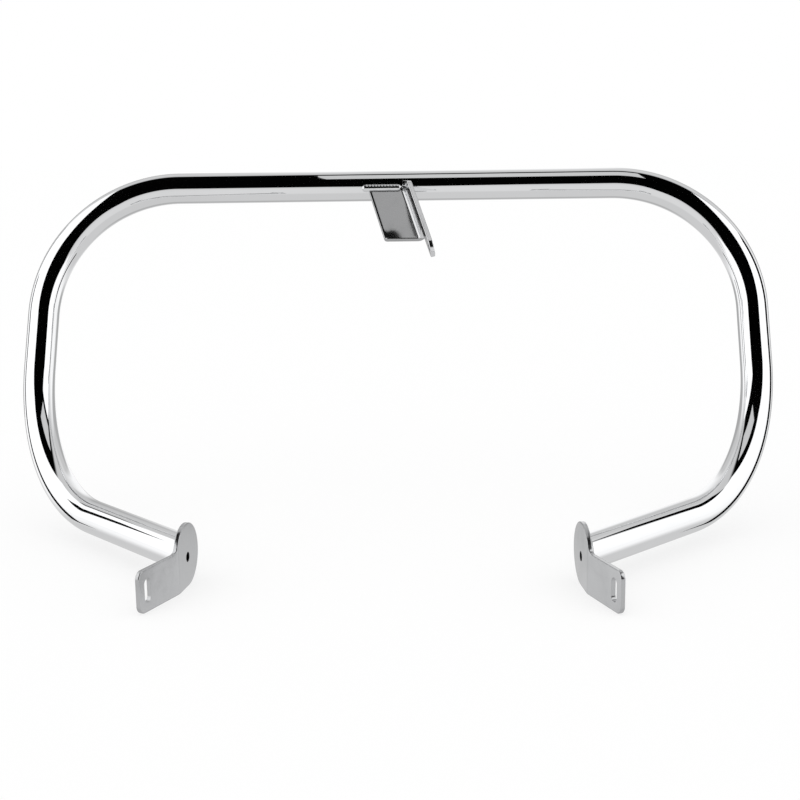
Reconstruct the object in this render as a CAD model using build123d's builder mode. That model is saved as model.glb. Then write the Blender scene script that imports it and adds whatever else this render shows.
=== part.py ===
"""Bolt-on engine guard for a motorcycle: one bent tube carried by three welded steel brackets.

The frame is the guard as it is fitted: +X to the rider's right, +Y forwards, +Z up. The origin lies under the
middle of the guard, level with the lower edges of the two lower plates.
"""

import os
from math import cos, radians, sin, sqrt

from build123d import *

# Bent tube: a raked loop whose two legs turn level, inwards and rearwards
tube_diameter = 31.75
tube_wall = 2.4
top_half_span = 364.5  # centre plane to the corner of the top run and a side run
side_run = 324.2  # upper corner to lower corner
leg_run = 289.2  # lower corner to the face of the lower plate
top_bend_radius = 139.0
low_bend_radius = 171.0
loop_rake = 22.6  # the loop's top leans forwards
side_flare = 0.8  # each side run spreads outwards on its way down
leg_sweep = 45.7  # each leg turns rearwards from straight across

# Lower plates: a round pad that caps the tube, with a tail bent outwards
plate_thickness = 4.0
pad_radius = 27.5
pad_toe = 7.5  # the pads converge towards the front
tail_bend = 15.0
tail_bend_start = 21.0  # pad centre to the start of the bend
tail_bend_radius = 12.0  # on the hollow side
tail_length = 54.0  # end of the bend to the end of the tail
tail_rise = 8.5  # top edge of the tail above the tube's axis
tail_corner_radius = 7.0
notch_radius = 6.0  # where the tail's top edge runs into the pad
slot_width = 8.5
slot_length = 20.0
slot_from_end = 11.5
vent_diameter = 8.5
vent_drop = 2.0  # below the tube's axis

# Upper bracket: a folded strip that leans rearwards under the top run, slanted to the rider's right
bracket_thickness = 4.5
bracket_rake = 42.0  # the strip's lower end lies rearwards
bracket_slant = 15.7
bracket_left = 29.3  # left edge from the middle of the tube, square to the slant
bracket_width = 40.1
bracket_stand_off = 10.6  # rear face of the strip from the tube's axis
bracket_drop = 79.2  # lower edge of the strip from the tube's axis, along the rake
bracket_corner_radius = 3.0
bracket_bend_radius = 3.5
tab_depth = 36.5
tab_top = 6.3  # level top edge of the tab above the tube's axis
tab_reach = 123.3  # end of the tab from the tube's axis, along the slant
tab_corner_radius = 6.0
ear_width = 14.6  # the ear hangs from the rear of the tab
ear_radius = 12.0  # its rear corner
ear_front_radius = 2.0
ear_hole_diameter = 6.6

# Weld beads
low_bead_radius = 3.5
top_bead_radius = 4.0
top_bead_left = 29.5
top_bead_right = 4.0

edge_radius = 0.8  # broken edges of the three brackets
overrun = 60.0  # room that a cutting body runs past what it cuts

tube_radius = tube_diameter / 2
X_AXIS = Vector(1, 0, 0)
Z_AXIS = Vector(0, 0, 1)


def level(angle):
    """Unit vector in the level plane, turned rearwards from +X by the given angle."""
    return Vector(cos(radians(angle)), -sin(radians(angle)), 0)


# The tail of each lower plate, worked out on the plate's inner face
tail_turn = pad_toe + tail_bend
pad_rearwards = level(90 - pad_toe)
tail_rearwards = level(90 - tail_turn)
pad_outwards = level(-pad_toe)
tail_outwards = level(-tail_turn)
convex_radius = tail_bend_radius + plate_thickness
bend_chord = pad_rearwards * convex_radius * sin(radians(tail_bend)) + pad_outwards * convex_radius * (
    1 - cos(radians(tail_bend))
)
tail_start = pad_rearwards * tail_bend_start + bend_chord
tail_end = tail_start + tail_rearwards * tail_length

# Corners of the tube's centre line, with the loop placed so that the guard's depth is centred on the origin
side_direction = Vector(
    sin(radians(side_flare)),
    -cos(radians(side_flare)) * sin(radians(loop_rake)),
    -cos(radians(side_flare)) * cos(radians(loop_rake)),
)
leg_direction = Vector(-cos(radians(leg_sweep)), -sin(radians(leg_sweep)), 0)
span_to_end = side_direction * side_run + leg_direction * leg_run + tail_end
top_y = (-span_to_end.Y - tube_radius) / 2
top_z = pad_radius - side_direction.Z * side_run
top_middle = Vector(0, top_y, top_z)
upper_corner = top_middle + X_AXIS * top_half_span
lower_corner = upper_corner + side_direction * side_run
pad_centre = lower_corner + leg_direction * leg_run
past_end = pad_centre + leg_direction * tube_diameter


def mirrored(point):
    """The same point on the rider's left."""
    return Vector(-point.X, point.Y, point.Z)


# Planes that the pieces share: pads and tails have +X forwards, +Y up and +Z away from the bike
pad_face = Plane(origin=pad_centre, x_dir=-pad_rearwards, z_dir=pad_outwards)
pad_back = pad_face.offset(plate_thickness)
slot_centre_height = (tail_rise - pad_radius) / 2
slot_centre = pad_centre + tail_end - tail_rearwards * slot_from_end + Z_AXIS * slot_centre_height
tail_face = Plane(origin=slot_centre, x_dir=-tail_rearwards, z_dir=tail_outwards)
leg_plane = Plane(origin=pad_centre, x_dir=Z_AXIS, z_dir=leg_direction)

# The plane through the top run that the strip lies along: +X across, +Y up the rake, +Z rearwards and up
rake_plane = Plane(
    origin=top_middle,
    x_dir=X_AXIS,
    z_dir=(0, -cos(radians(bracket_rake)), sin(radians(bracket_rake))),
)
contact_drop = sqrt(tube_radius**2 - bracket_stand_off**2)  # where the strip's rear face meets the tube
slant_down = rake_plane.x_dir * sin(radians(bracket_slant)) - rake_plane.y_dir * cos(radians(bracket_slant))
slant_across = rake_plane.x_dir * cos(radians(bracket_slant)) + rake_plane.y_dir * sin(radians(bracket_slant))
strip_front = bracket_stand_off - bracket_thickness
tab_outer = bracket_width - bracket_left
ear_end = top_middle + slant_down * tab_reach
tab_rear = strip_front + tab_depth
ear_offset = slant_across * tab_outer + rake_plane.z_dir * (tab_rear - ear_width / 2)
ear_centre = ear_end - slant_down * ear_width / 2 + ear_offset
ear_plane = Plane(origin=ear_centre, x_dir=slant_down, z_dir=slant_across)
seam_start = top_middle + rake_plane.z_dir * bracket_stand_off - rake_plane.y_dir * contact_drop
tab_level = Plane(origin=top_middle + Z_AXIS * tab_top, z_dir=Z_AXIS)
bead_section = Plane(origin=seam_start - X_AXIS * top_bead_left, z_dir=X_AXIS)
tube_section = Plane(origin=top_middle, z_dir=X_AXIS)
low_edge = Plane(
    origin=top_middle - rake_plane.y_dir * bracket_drop + rake_plane.z_dir * (tab_rear - ear_width),
    x_dir=-rake_plane.z_dir,
    z_dir=X_AXIS,
)
rearward_axis = Axis(origin=top_middle, direction=rake_plane.z_dir)

# The seam of leg and pad is an ellipse, shifted forwards by the plate's thickness
seam_tilt = 1 / abs(leg_direction.dot(pad_outwards))
seam_shift = plate_thickness * sqrt(seam_tilt**2 - 1)


# Bent tube, each end trimmed to lie flat on the outer face of its lower plate
with BuildPart() as guard_tube:
    with BuildLine():
        FilletPolyline(
            mirrored(past_end),
            mirrored(lower_corner),
            mirrored(upper_corner),
            upper_corner,
            lower_corner,
            past_end,
            radius=[low_bend_radius, top_bend_radius, top_bend_radius, low_bend_radius],
        )
    with BuildSketch(Plane(origin=mirrored(past_end), z_dir=mirrored(-leg_direction))):
        Circle(tube_radius)
        Circle(tube_radius - tube_wall, mode=Mode.SUBTRACT)
    sweep()
    with BuildSketch(pad_back):
        Rectangle(2 * overrun, 2 * overrun)
    end_waste = extrude(amount=-overrun, mode=Mode.SUBTRACT)
    mirror(end_waste, about=Plane.YZ, mode=Mode.SUBTRACT)

# Lower plate: a strip bent in plan, cut to the outline of pad and tail
with BuildPart() as lower_plate_right:
    with BuildSketch(Plane(origin=pad_centre - Z_AXIS * pad_radius, x_dir=pad_rearwards, z_dir=Z_AXIS)):
        with BuildLine():
            pad_line = Line((-pad_radius, 0), (tail_bend_start, 0))
            bend_arc = JernArc(pad_line @ 1, pad_line % 1, convex_radius, tail_bend)
            Line(bend_arc @ 1, bend_arc @ 1 + (bend_arc % 1) * tail_length)
            offset(amount=plate_thickness, side=Side.LEFT)
        make_face()
    extrude(amount=2 * pad_radius)
    with BuildSketch(pad_face):
        with BuildLine():
            notch = (-sqrt(pad_radius**2 - tail_rise**2), tail_rise)
            far_end = -tail_bend_start - tail_length - overrun
            ThreePointArc(notch, (pad_radius, 0), (0, -pad_radius))
            Polyline((0, -pad_radius), (far_end, -pad_radius), (far_end, tail_rise), notch)
        make_face()
        notch_corner = vertices().sort_by(Axis.X)[-2]
        fillet(notch_corner, radius=notch_radius)
    extrude(amount=overrun, both=True, mode=Mode.INTERSECT)
    end_corners = edges().filter_by(Axis(origin=(0, 0, 0), direction=tail_outwards)).sort_by(Axis.Y)[:2]
    fillet(end_corners, radius=tail_corner_radius)
    fillet(edges(), radius=edge_radius)
    with BuildSketch(pad_face):
        with Locations((0, -vent_drop)):
            Circle(vent_diameter / 2)
    extrude(amount=plate_thickness, mode=Mode.SUBTRACT)
    with BuildSketch(tail_face):
        SlotOverall(slot_length, slot_width, rotation=90)
    extrude(amount=plate_thickness, mode=Mode.SUBTRACT)

with BuildPart() as lower_plate_left:
    mirror(lower_plate_right.part, about=Plane.YZ)

# Weld bead round the end of the tube, on the outside of the pad
with BuildPart() as lower_weld_right:
    with BuildLine(pad_back):
        seam = EllipticalCenterArc((seam_shift, 0), tube_radius * seam_tilt, tube_radius, arc_size=360)
    with BuildSketch(Plane(origin=seam @ 0, z_dir=seam % 0)):
        Circle(low_bead_radius)
    sweep()
    split(bisect_by=pad_back, keep=Keep.TOP)
    with BuildSketch(leg_plane):
        Circle(tube_radius)
    extrude(amount=overrun, both=True, mode=Mode.SUBTRACT)
    add(lower_plate_right.part, mode=Mode.SUBTRACT)

with BuildPart() as lower_weld_left:
    mirror(lower_weld_right.part, about=Plane.YZ)

# Upper bracket: an angle section along the slant, cut above and below so that an ear is left on the tab
with BuildPart() as upper_bracket:
    with BuildSketch(Plane(origin=ear_end, x_dir=slant_across, z_dir=slant_down)):
        with BuildLine():
            FilletPolyline(
                (-bracket_left, strip_front),
                (tab_outer, strip_front),
                (tab_outer, strip_front + tab_depth),
                radius=bracket_bend_radius + bracket_thickness,
            )
            offset(amount=bracket_thickness, side=Side.LEFT)
        make_face()
    extrude(amount=-tab_reach - overrun)
    split(bisect_by=tab_level, keep=Keep.BOTTOM)
    with BuildSketch(low_edge):
        Rectangle(2 * overrun, 2 * overrun, align=(Align.MIN, Align.MAX))
    extrude(amount=2 * overrun, both=True, mode=Mode.SUBTRACT)
    level_edges = edges().filter_by(Axis.X).sort_by(rearward_axis)
    end_edges = edges().filter_by(Axis(origin=top_middle, direction=slant_across)).sort_by(rearward_axis)
    left_edge = edges().filter_by(rearward_axis).sort_by(Axis.X)[0]
    fillet(level_edges[-1], radius=tab_corner_radius)
    fillet([level_edges[-2], left_edge], radius=bracket_corner_radius)
    fillet(end_edges[-1], radius=ear_radius)
    fillet(end_edges[0], radius=ear_front_radius)
    fillet(edges(), radius=edge_radius)
    with BuildSketch(ear_plane):
        Circle(ear_hole_diameter / 2)
    extrude(amount=-bracket_thickness, mode=Mode.SUBTRACT)
    with BuildSketch(tube_section):
        Circle(tube_radius)
    extrude(amount=overrun, both=True, mode=Mode.SUBTRACT)

# Weld bead along the strip, run round its left corner
with BuildPart() as upper_weld:
    with BuildSketch(bead_section):
        Circle(top_bead_radius)
    extrude(amount=top_bead_left + top_bead_right)
    with Locations(bead_section.origin, bead_section.origin + X_AXIS * (top_bead_left + top_bead_right)):
        Sphere(top_bead_radius)
    with BuildSketch(tube_section):
        Circle(tube_radius)
    extrude(amount=overrun, both=True, mode=Mode.SUBTRACT)
    add(upper_bracket.part, mode=Mode.SUBTRACT)

os.makedirs("parts", exist_ok=True)
nodes = {
    "guard_tube": guard_tube,
    "upper_bracket": upper_bracket,
    "upper_weld": upper_weld,
    "lower_plate_left": lower_plate_left,
    "lower_plate_right": lower_plate_right,
    "lower_weld_left": lower_weld_left,
    "lower_weld_right": lower_weld_right,
}
for name, node in nodes.items():
    node.part.label = name
    export_step(node.part, f"parts/{name}.step")
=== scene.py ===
"""Chromed motorcycle engine guard, dressed for the studio.

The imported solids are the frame. Each of them is made again here as a smooth mesh of the same form, plated
with a procedural chrome, and shown on a pale floor from behind the rider's seat. Lengths are in metres and
angles in degrees.
"""

import logging
from collections.abc import Callable, Sequence
from dataclasses import dataclass
from enum import Enum
from math import atan2, cos, degrees, pi, radians, sin, sqrt, tan

import bmesh
import bpy
from mathutils import Matrix, Vector
from mathutils.geometry import tessellate_polygon


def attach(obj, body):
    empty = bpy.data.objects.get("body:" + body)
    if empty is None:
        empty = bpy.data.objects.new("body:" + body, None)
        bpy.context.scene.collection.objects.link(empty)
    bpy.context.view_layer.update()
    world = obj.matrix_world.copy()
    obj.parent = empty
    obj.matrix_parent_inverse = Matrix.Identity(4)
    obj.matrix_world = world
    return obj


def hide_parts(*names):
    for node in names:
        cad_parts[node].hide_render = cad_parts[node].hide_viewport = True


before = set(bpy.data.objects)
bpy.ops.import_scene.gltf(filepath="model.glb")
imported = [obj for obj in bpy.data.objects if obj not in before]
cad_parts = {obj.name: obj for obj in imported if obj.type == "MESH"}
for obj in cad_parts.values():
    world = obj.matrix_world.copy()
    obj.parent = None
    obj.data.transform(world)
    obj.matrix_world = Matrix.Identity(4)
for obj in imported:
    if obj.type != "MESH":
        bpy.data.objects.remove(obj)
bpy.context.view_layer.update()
LOG = logging.getLogger("engine_guard")

# Chords in the arcs of the sheets' outlines
CORNER_STEPS = 12
SMALL_CORNER_STEPS = 8
NOTCH_STEPS = 10
PAD_STEPS = 72
EAR_STEPS = 24
HOLE_STEPS = 40
SLOT_END_STEPS = 20

SHARP_ANGLE = 50.0  # edges of a sheet that turn more than this are not smoothed
UP = Vector((0.0, 0.0, 1.0))
ACROSS = Vector((1.0, 0.0, 0.0))

BMesh = bmesh.types.BMesh
Material = bpy.types.Material
Mesh = bpy.types.Mesh
Object = bpy.types.Object
Point = tuple[float, float]
Triple = tuple[float, float, float]
Loop = list[Point]


class Side(Enum):
    """The rider's left or right, as the sign of X."""

    LEFT = -1
    RIGHT = 1

    @property
    def word(self) -> str:
        """The side's name in a piece's name."""
        return self.name.lower()

    def turn(self, vector: Vector) -> Vector:
        """The vector, which is given for the right, on this side."""
        return Vector((vector.x * self.value, vector.y, vector.z))


class Slot(Enum):
    """Names of the chrome materials of the tube, the bracket and the welds."""

    TUBE = "tube_chrome"
    BRACKET = "bracket_chrome"
    WELD = "weld_chrome"


def math_operator(operation: str, swapped: bool = False) -> Callable[["Wire", "Wire | float"], "Wire"]:
    """Makes an arithmetic operator for Wire.

    Args:
        operation: The Math node's operation.
        swapped: Whether the wire is the second operand.

    Returns:
        The operator, as a method.
    """

    def apply(wire: "Wire", other: "Wire | float") -> "Wire":
        """Adds the Math node."""
        return wire.graph.math(operation, *((other, wire) if swapped else (wire, other)))

    return apply


@dataclass
class Wire:
    """An output socket of a node graph, with arithmetic that adds Math nodes."""

    graph: "Graph"
    socket: bpy.types.NodeSocket

    __add__ = math_operator("ADD")
    __radd__ = math_operator("ADD", swapped=True)
    __sub__ = math_operator("SUBTRACT")
    __rsub__ = math_operator("SUBTRACT", swapped=True)
    __mul__ = math_operator("MULTIPLY")
    __rmul__ = math_operator("MULTIPLY", swapped=True)
    __truediv__ = math_operator("DIVIDE")

    def __neg__(self) -> "Wire":
        """The value with the other sign."""
        return self * -1.0

    def __abs__(self) -> "Wire":
        """The value without its sign."""
        return self.graph.math("ABSOLUTE", self)


class Graph:
    """A node tree that is written as expressions."""

    def __init__(self, tree: bpy.types.NodeTree) -> None:
        """Empties the tree and keeps it."""
        self.tree = tree
        tree.nodes.clear()

    def node(self, kind: str, inputs: dict | None = None, **settings: object) -> bpy.types.Node:
        """Adds a node.

        Args:
            kind: The node's type name.
            inputs: Values or wires by socket name or number.
            settings: Its own properties, set first.

        Returns:
            The new node.
        """
        made = self.tree.nodes.new(kind)
        for name, value in settings.items():
            setattr(made, name, value)
        for key, value in (inputs or {}).items():
            if isinstance(value, Wire):
                self.tree.links.new(value.socket, made.inputs[key])
            else:
                made.inputs[key].default_value = value
        return made

    def wire(self, kind: str, inputs: dict | None = None, out: str | int = 0, **settings: object) -> Wire:
        """Adds a node as node() does and returns one of its outputs."""
        return Wire(self, self.node(kind, inputs, **settings).outputs[out])

    def math(self, operation: str, *values: Wire | float) -> Wire:
        """Adds a Math node on the given values."""
        return self.wire("ShaderNodeMath", dict(enumerate(values)), operation=operation)

    def vector(self, operation: str, *values: Wire | Sequence[float]) -> Wire:
        """Adds a Vector Math node on the given vectors."""
        out = "Value" if operation in ("DISTANCE", "DOT_PRODUCT", "LENGTH") else "Vector"
        return self.wire("ShaderNodeVectorMath", dict(enumerate(values)), out, operation=operation)

    def scaled(self, vector: Wire, factor: Wire) -> Wire:
        """The vector times a number."""
        return self.wire("ShaderNodeVectorMath", {"Vector": vector, "Scale": factor}, operation="SCALE")

    def parts(self, vector: Wire) -> list[Wire]:
        """X, Y and Z of a vector."""
        return [Wire(self, part) for part in self.node("ShaderNodeSeparateXYZ", {0: vector}).outputs]

    def ramp(self, value: Wire, low: float, high: float) -> Wire:
        """A smooth step from 0 at low to 1 at high."""
        inputs = {"Value": value, "From Min": low, "From Max": high}
        return self.wire("ShaderNodeMapRange", inputs, interpolation_type="SMOOTHSTEP")

    def window(self, value: Wire, low: float, high: float, soft: float) -> Wire:
        """1 between low and high, 0 outside, with soft edges."""
        fall = self.ramp(value, high - soft, high + soft)
        return self.ramp(value, low - soft, low + soft) * (1.0 - fall)

    def noise(self, place: Wire, size: float, detail: float, rough: float = 0.5) -> Wire:
        """Noise of the given size per metre, from 0 to 1."""
        inputs = {"Vector": place, "Scale": size, "Detail": detail, "Roughness": rough}
        return self.wire("ShaderNodeTexNoise", inputs)

    def mix(self, factor: Wire, first: Wire | Sequence[float], second: Wire | Sequence[float]) -> Wire:
        """A blend of two colours."""
        inputs = {"Factor": factor, "A": first, "B": second}
        return self.wire("ShaderNodeMix", inputs, "Result", data_type="RGBA")

    def grey(self, value: Wire) -> Wire:
        """A number as a grey colour."""
        return self.wire("ShaderNodeCombineColor", {0: value, 1: value, 2: value})


class MaterialGraph(Graph):
    """The node tree of a new material, which works from Object coordinates."""

    def __init__(self, name: str) -> None:
        """Makes the material.

        Args:
            name: The material's name.
        """
        self.material = bpy.data.materials.new(name)
        self.material.use_nodes = True
        super().__init__(self.material.node_tree)
        self.place = self.wire("ShaderNodeTexCoord", out="Object")

    def finish(self, shader: str, inputs: dict) -> Material:
        """Ends the tree with a shader and returns the material."""
        self.node("ShaderNodeOutputMaterial", {"Surface": self.wire(shader, inputs)})
        return self.material


class GeometryGraph(Graph):
    """A Geometry Nodes tree with named inputs."""

    KINDS = {
        float: "NodeSocketFloat",
        int: "NodeSocketInt",
        Vector: "NodeSocketVector",
        Material: "NodeSocketMaterial",
    }

    def __init__(self, name: str, values: dict[str, object]) -> None:
        """Makes the tree.

        Args:
            name: The tree's name.
            values: Its inputs after the geometry, by name, each with a value that shows its type.
        """
        super().__init__(bpy.data.node_groups.new(name, "GeometryNodeTree"))
        face = self.tree.interface
        face.new_socket(name="Geometry", in_out="INPUT", socket_type="NodeSocketGeometry")
        self.keys = {}
        for label, value in values.items():
            socket = face.new_socket(name=label, in_out="INPUT", socket_type=self.KINDS[type(value)])
            self.keys[label] = socket.identifier
        face.new_socket(name="Geometry", in_out="OUTPUT", socket_type="NodeSocketGeometry")
        self.entry = self.node("NodeGroupInput")

    def __getitem__(self, label: str) -> Wire:
        """One of the tree's inputs."""
        return Wire(self, self.entry.outputs[label])

    def finish(self, geometry: Wire, materials: Sequence[tuple[Wire, Wire | bool]]) -> None:
        """Ends the tree with smooth, real geometry and its materials.

        Args:
            geometry: What the tree has made.
            materials: Each material's input with the faces that take it.
        """
        geometry = self.wire("GeometryNodeSetShadeSmooth", {"Geometry": geometry})
        geometry = self.wire("GeometryNodeRealizeInstances", {"Geometry": geometry})
        for material, faces in materials:
            inputs = {"Geometry": geometry, "Material": material, "Selection": faces}
            geometry = self.wire("GeometryNodeSetMaterial", inputs)
        self.node("NodeGroupOutput", {"Geometry": geometry})

    def made_from(self, host: Object, values: dict[str, object]) -> Mesh:
        """Runs the tree on a host object and takes the host away.

        Args:
            host: The object with the path that the tree follows.
            values: The inputs' values by name.

        Returns:
            The result as a plain mesh.
        """
        modifier = host.modifiers.new(self.tree.name, "NODES")
        modifier.node_group = self.tree
        for label, value in values.items():
            modifier[self.keys[label]] = tuple(value) if isinstance(value, Vector) else value
        return converted(host)


def linked(name: str, data: bpy.types.ID) -> Object:
    """Puts a new object in the scene.

    Args:
        name: The object's name.
        data: Its mesh, lamp or camera.

    Returns:
        The object.
    """
    made = bpy.data.objects.new(name, data)
    bpy.context.scene.collection.objects.link(made)
    return made


def discard(made: Object) -> None:
    """Removes an object and its mesh.

    Args:
        made: The object.
    """
    mesh = made.data
    bpy.data.objects.remove(made)
    bpy.data.meshes.remove(mesh)


def converted(host: Object) -> Mesh:
    """Takes an object's finished mesh and removes the object.

    Args:
        host: The object, with its modifiers.

    Returns:
        The mesh that the modifiers leave.
    """
    evaluated = host.evaluated_get(bpy.context.evaluated_depsgraph_get())
    made = bpy.data.meshes.new_from_object(evaluated)
    discard(host)
    return made


def plain_mesh(name: str, bm: BMesh) -> Mesh:
    """Turns a bmesh into a mesh.

    Args:
        name: The mesh's name.
        bm: The bmesh, freed here.

    Returns:
        The mesh.
    """
    mesh = bpy.data.meshes.new(name)
    bm.to_mesh(mesh)
    bm.free()
    return mesh


def path_object(name: str, points: Sequence[Vector], closed: bool) -> Object:
    """Makes an object that holds a line of edges for a tree to follow.

    Args:
        name: The object's name.
        points: Corners of the line.
        closed: Whether the last corner joins the first.

    Returns:
        The linked object.
    """
    edges = [(i, i + 1) for i in range(len(points) - 1)]
    if closed:
        edges.append((len(points) - 1, 0))
    mesh = bpy.data.meshes.new(name)
    mesh.from_pydata([tuple(point) for point in points], edges, [])
    return linked(name, mesh)


def place_piece(name: str, mesh: Mesh, node: str) -> Object:
    """Shows a finished mesh in place of a solid.

    Args:
        name: The piece's name.
        mesh: Its mesh, with its materials.
        node: The solid that it stands for.

    Returns:
        The piece.
    """
    mesh.name = name
    piece = linked(name, mesh)
    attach(piece, "root")
    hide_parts(node)
    mesh.calc_loop_triangles()
    LOG.info("%s stands for %s with %d triangles", name, node, len(mesh.loop_triangles))
    return piece


def level(angle: float) -> Vector:
    """A level unit vector, turned rearwards from +X by the angle."""
    return Vector((cos(radians(angle)), -sin(radians(angle)), 0.0))


def arc(centre: Point, radius: float, start: float, end: float, steps: int) -> Loop:
    """Points along an arc, both ends included.

    Args:
        centre: Its centre.
        radius: Its radius.
        start: The angle of its first point.
        end: The angle of its last point.
        steps: How many chords it has.

    Returns:
        The points in order.
    """
    angles = [radians(start + (end - start) * i / steps) for i in range(steps + 1)]
    return [(centre[0] + radius * cos(a), centre[1] + radius * sin(a)) for a in angles]


@dataclass(frozen=True)
class ChromeFinish:
    """A chrome plate over polished or plain steel."""

    name: str
    tint: Triple
    cloud: float  # share of the tint that the cloudiest patches lose
    gloss: Point  # roughness of the cleanest and of the dullest patches
    cloud_size: float = 26.0  # patches of cloud per metre
    cloud_edge: Point = (0.42, 0.72)  # noise where a patch begins, and where it is full
    cloud_dulls: float = 0.7  # share of the dullness that follows the patches; the grain has the rest
    wave: float = 4e-5  # height of the steel's waviness under the plate
    wave_size: float = 60.0  # waves per metre
    grain: float = 1e-6  # height of the fine grain left by the polishing belt
    grain_size: float = 700.0  # lines of grain per metre
    grain_stretch: float = 14.0  # how much finer the grain is upwards

    def relief(self, g: MaterialGraph, wave: Wire) -> Wire:
        """Height of the face in metres, from its waves."""
        return wave * self.wave

    def colour(self, g: MaterialGraph, base: Wire) -> Wire:
        """Colour of the plate, from the clouded tint."""
        return base

    def material(self) -> Material:
        """Builds the material.

        Returns:
            The material.
        """
        g = MaterialGraph(self.name)
        cloud = g.ramp(g.noise(g.place, self.cloud_size, detail=4.0, rough=0.6), *self.cloud_edge)
        belt = g.vector("MULTIPLY", g.place, (1.0, 1.0, self.grain_stretch))
        grain = g.noise(belt, self.grain_size, detail=2.0)
        dull = tuple(c * (1.0 - self.cloud) for c in self.tint)
        clean, dullest = self.gloss
        dulled = cloud * self.cloud_dulls + grain * (1.0 - self.cloud_dulls)
        height = self.relief(g, g.noise(g.place, self.wave_size, detail=1.5))
        bump = g.wire("ShaderNodeBump", {"Height": height, "Distance": 1.0, "Strength": 1.0})
        fine = {"Height": grain, "Distance": self.grain, "Strength": 1.0, "Normal": bump}
        inputs = {
            "Base Color": self.colour(g, g.mix(cloud, (*self.tint, 1.0), (*dull, 1.0))),
            "Metallic": 1.0,
            "Roughness": clean + (dullest - clean) * dulled,
            "Normal": g.wire("ShaderNodeBump", fine),
        }
        return g.finish("ShaderNodeBsdfPrincipled", inputs)


@dataclass(frozen=True)
class StripFinish(ChromeFinish):
    """The upper bracket's chrome: dimmed on the strip's face by painted shade, and rolled over at its rims by
    polishing.
    """

    face: tuple[Vector, float] = (UP, 0.0)  # the strip's face, as its direction and its distance that way
    # painted shade: the strip's face keeps only this share of the tint, so it reflects darker than the fold
    # and the tab
    face_painted_shade_share: float = 0.62  # share of the tint that the face keeps
    # Rise above the face where its painted shade and its rolled edges begin to end, and where they have ended
    face_edge: Point = (0.0003, 0.0012)
    # The rolled edges, each a direction out of the strip and its distance
    edges: tuple[tuple[Vector, float], ...] = ()
    edge_roll: Point = (0.0034, 0.25)  # width of the rolled edges, and their slope at the end
    corner: Vector = Vector()  # the rolled corner
    corner_roll: Point = (0.022, 0.3)  # reach of the rolled corner, and its slope at the end

    def _on_face(self, g: MaterialGraph) -> Wire:
        """1 on the strip's face, 0 on the fold and the tab."""
        ahead, level_at = self.face
        return 1.0 - g.ramp(g.vector("DOT_PRODUCT", g.place, ahead) - level_at, *self.face_edge)

    def relief(self, g: MaterialGraph, wave: Wire) -> Wire:
        """Height of the face in metres: its waves, less the rolled edges and corner.

        Args:
            g: The material's tree.
            wave: The waves, from 0 to 1.

        Returns:
            The height.
        """
        height = wave * self.wave
        on_face = self._on_face(g)
        rolls = [(end - g.vector("DOT_PRODUCT", g.place, out), *self.edge_roll) for out, end in self.edges]
        rolls.append((g.vector("DISTANCE", g.place, self.corner), *self.corner_roll))
        for gap, reach, slope in rolls:
            short = g.math("MAXIMUM", reach - g.math("MAXIMUM", gap, 0.0), 0.0)
            height = height - on_face * short * short * (0.5 * slope / reach)
        return height

    def colour(self, g: MaterialGraph, base: Wire) -> Wire:
        """Colour of the plate, dimmed on the strip's face with painted shade."""
        # painted shade: the face's tint is cut to its share, for a darker reflection
        return g.mix(self._on_face(g), base, g.vector("MULTIPLY", base, (self.face_painted_shade_share,) * 3))


@dataclass(frozen=True)
class BareSteelFinish:
    """Unplated steel inside the tube, dark with mill scale."""

    name: str = "bare_steel"
    dark: Triple = (0.012, 0.012, 0.013)  # colour of the scale
    light: Triple = (0.05, 0.048, 0.046)  # colour where the scale is thin
    gloss: Point = (0.55, 0.85)  # roughness of the scale, and where it is thin
    metal: float = 0.4  # how metallic it looks
    scale_size: float = 260.0  # flakes of scale per metre
    scale_height: float = 0.0002  # height of the flakes

    def material(self) -> Material:
        """Builds the material.

        Returns:
            The material.
        """
        g = MaterialGraph(self.name)
        scale = g.noise(g.place, self.scale_size, detail=5.0)
        flakes = {"Height": scale, "Distance": self.scale_height, "Strength": 1.0}
        low, high = self.gloss
        inputs = {
            "Base Color": g.mix(scale, (*self.dark, 1.0), (*self.light, 1.0)),
            "Metallic": self.metal,
            "Roughness": low + (high - low) * scale,
            "Normal": g.wire("ShaderNodeBump", flakes),
        }
        return g.finish("ShaderNodeBsdfPrincipled", inputs)


@dataclass(frozen=True)
class Finishes:
    """The materials of the guard."""

    tube: Material
    bracket: Material
    plate: Material
    weld: Material
    bare: Material

    @classmethod
    def made(cls, bracket: "UpperBracket") -> "Finishes":
        """Builds all of them.

        Args:
            bracket: The upper bracket, for the edges that are rolled over.

        Returns:
            The materials.
        """
        rolled = {"face": bracket.rear_face, "edges": bracket.rolled_edges, "corner": bracket.low_corner}
        finishes = (
            ChromeFinish(
                "tube_chrome",
                tint=(0.93, 0.935, 0.945),
                cloud=0.03,
                gloss=(0.012, 0.05),
                cloud_size=9.0,
                wave=2e-5,
                wave_size=22.0,
                grain=2e-7,
                grain_size=900.0,
            ),
            # the bracket's strip face is dimmed with painted shade for a darker reflection
            StripFinish("bracket_chrome", tint=(0.86, 0.865, 0.875), cloud=0.06, gloss=(0.12, 0.2), **rolled),
            # the plates' tint is dimmed well below the tube's: painted shade for the darker reflections the
            # plates show
            ChromeFinish("plate_chrome", tint=(0.59, 0.595, 0.605), cloud=0.08, gloss=(0.14, 0.24)),
            ChromeFinish(
                "weld_chrome",
                tint=(0.88, 0.885, 0.895),
                cloud=0.1,
                gloss=(0.05, 0.15),
                cloud_size=90.0,
                wave=8e-5,
                wave_size=240.0,
            ),
            BareSteelFinish(),
        )
        return cls(*(finish.material() for finish in finishes))


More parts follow.
